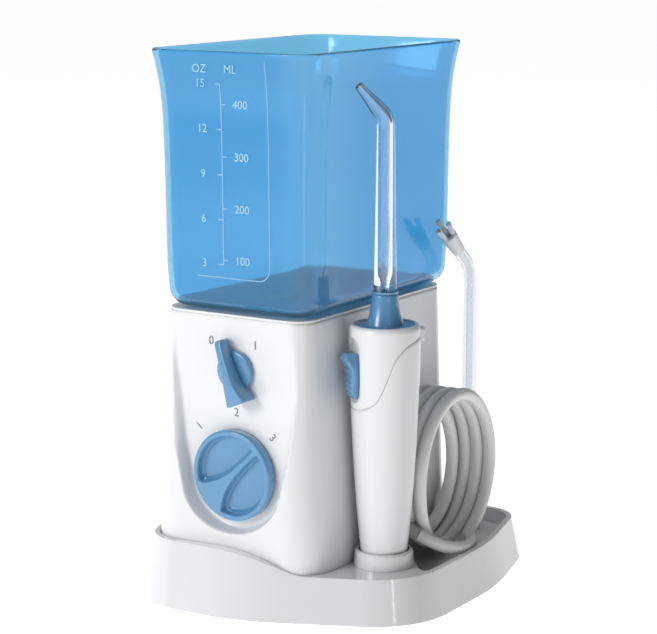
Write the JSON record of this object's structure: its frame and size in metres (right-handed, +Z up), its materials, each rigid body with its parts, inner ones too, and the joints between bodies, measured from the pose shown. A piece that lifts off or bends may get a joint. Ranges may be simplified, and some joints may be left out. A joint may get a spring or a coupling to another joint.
{
  "type": "water flosser",
  "caption": "Countertop oral irrigator: white tray base and motor body, translucent blue lift-off reservoir, corded handle with rotating jet tip and coiled hose.",
  "frame": {"origin": "on the resting surface, at the centre of the tray's footprint", "axes": "+Z up; -Y is the front with the two controls; +X is the handle's side"},
  "size_m": [0.1166, 0.139, 0.2093],
  "materials": {
    "white_shell": "high gloss white moulding",
    "white_tray": "high gloss white moulding",
    "blue_tank": "clear sky-blue moulding",
    "blue_knob": "satin light blue moulding",
    "clear_tip": "clear polished moulding",
    "tip_collar": "semi-gloss white",
    "hose_grey": "soft satin off-white PVC",
    "relief_grey": "satin grey",
    "rubber_black": "matt",
    "steel": "zinc plated",
    "brass": "machined",
    "inner_plastic": "natural acetal",
    "dark_plastic": "moulded",
    "board_green": "solder mask",
    "inner_tube": "translucent silicone"
  },
  "bodies": {
    "base": {"base_screws": "steel", "base_tray": "white_tray", "board_clips": "inner_plastic", "body_shell": "white_shell", "bottom_cover": "white_tray", "chassis_screws": "steel", "cord_inlet_grommet": "relief_grey", "deck_seal": "rubber_black", "delivery_tube": "inner_tube", "gear_axle": "steel", "handle_cup": "white_tray", "hose_coil": "hose_grey", "hose_lead": "hose_grey", "hose_relief": "relief_grey", "hose_tail": "hose_grey", "inlet_check_valve": "rubber_black", "inlet_tube": "inner_tube", "motor": "steel", "outlet_check_valve": "rubber_black", "outlet_tube": "inner_tube", "power_board": "board_green", "power_switch": "dark_plastic", "pressure_valve_body": "inner_plastic", "pump_chassis": "inner_plastic", "pump_cylinder": "inner_plastic", "pump_head": "inner_plastic", "rubber_feet": "rubber_black", "tip_post": "white_tray", "top_deck": "white_shell"},
    "reservoir_unit": {"reservoir": "blue_tank", "outlet_valve_stem": "inner_plastic", "outlet_valve_spring": "steel", "outlet_valve_seal": "rubber_black"},
    "power_control": {"power_knob": "blue_knob"},
    "pressure_control": {"pressure_dial": "blue_knob", "pressure_valve_spindle": "inner_plastic"},
    "gear": {"drive_gear": "inner_plastic"},
    "pinion": {"motor_pinion": "brass"},
    "piston": {"pump_piston": "inner_plastic", "piston_seal": "rubber_black"},
    "handle": {"handle_head_shell": "white_shell", "handle_grip_shell": "white_shell", "handle_inner_tube": "inner_plastic", "pause_valve_body": "inner_plastic"},
    "pause_slider": {"pause_button": "blue_knob", "pause_shuttle": "inner_plastic"},
    "rotator": {"tip_rotator": "blue_knob", "rotator_clip": "inner_plastic", "rotator_o_ring": "rubber_black"},
    "tip": {"jet_tip": "clear_tip", "jet_tip_ring": "blue_knob"},
    "ejector": {"tip_eject_button": "white_shell"},
    "spare_tip": {"spare_tip_tube": "clear_tip", "spare_tip_collar": "tip_collar", "spare_tip_bristles": "clear_tip"}
  },
  "joints": [
    {"name": "reservoir_lift", "type": "slide", "parent": "base", "child": "reservoir_unit", "axis": [0, 0, 1], "range_m": [0, 0.04]},
    {"name": "power_knob_turn", "type": "hinge", "parent": "base", "child": "power_control", "pos_m": [-0.0116, -0.0547, 0.0922], "axis": [0, 1, 0], "range_deg": [0, 50]},
    {"name": "pressure_dial_turn", "type": "hinge", "parent": "base", "child": "pressure_control", "pos_m": [-0.0116, -0.0547, 0.053], "axis": [0, 1, 0], "range_deg": [-92, 0]},
    {"name": "drive_gear_spin", "type": "hinge", "parent": "base", "child": "gear", "pos_m": [-0.001, 0.007, 0.036], "axis": [0, 1, 0], "continuous": true},
    {"name": "motor_pinion_spin", "type": "hinge", "parent": "base", "child": "pinion", "pos_m": [-0.0234, 0.007, 0.036], "axis": [0, 1, 0], "continuous": true},
    {"name": "piston_stroke", "type": "slide", "parent": "base", "child": "piston", "axis": [0, 0, 1], "range_m": [-0.009, 0]},
    {"name": "handle_lift", "type": "slide", "parent": "base", "child": "handle", "axis": [0, 0, 1], "range_m": [0, 0.025]},
    {"name": "pause_slide", "type": "slide", "parent": "handle", "child": "pause_slider", "axis": [0, 0, 1], "range_m": [0, 0.0035]},
    {"name": "tip_rotator_turn", "type": "hinge", "parent": "handle", "child": "rotator", "pos_m": [0.0341, -0.0249, 0.11], "axis": [0, 0, 1], "continuous": true},
    {"name": "jet_tip_pull", "type": "slide", "parent": "rotator", "child": "tip", "axis": [0, 0, 1], "range_m": [0, 0.03]},
    {"name": "tip_eject_press", "type": "slide", "parent": "handle", "child": "ejector", "axis": [-0.6298, -0.7768, 0], "range_m": [0, 0.0012], "stiffness_N_per_m": 800},
    {"name": "spare_tip_lift", "type": "slide", "parent": "base", "child": "spare_tip", "axis": [0, 0, 1], "range_m": [0, 0.03]}
  ],
  "couplings": [
    {"joint": "motor_pinion_spin", "follows": "drive_gear_spin", "ratio": -3.6667}
  ]
}
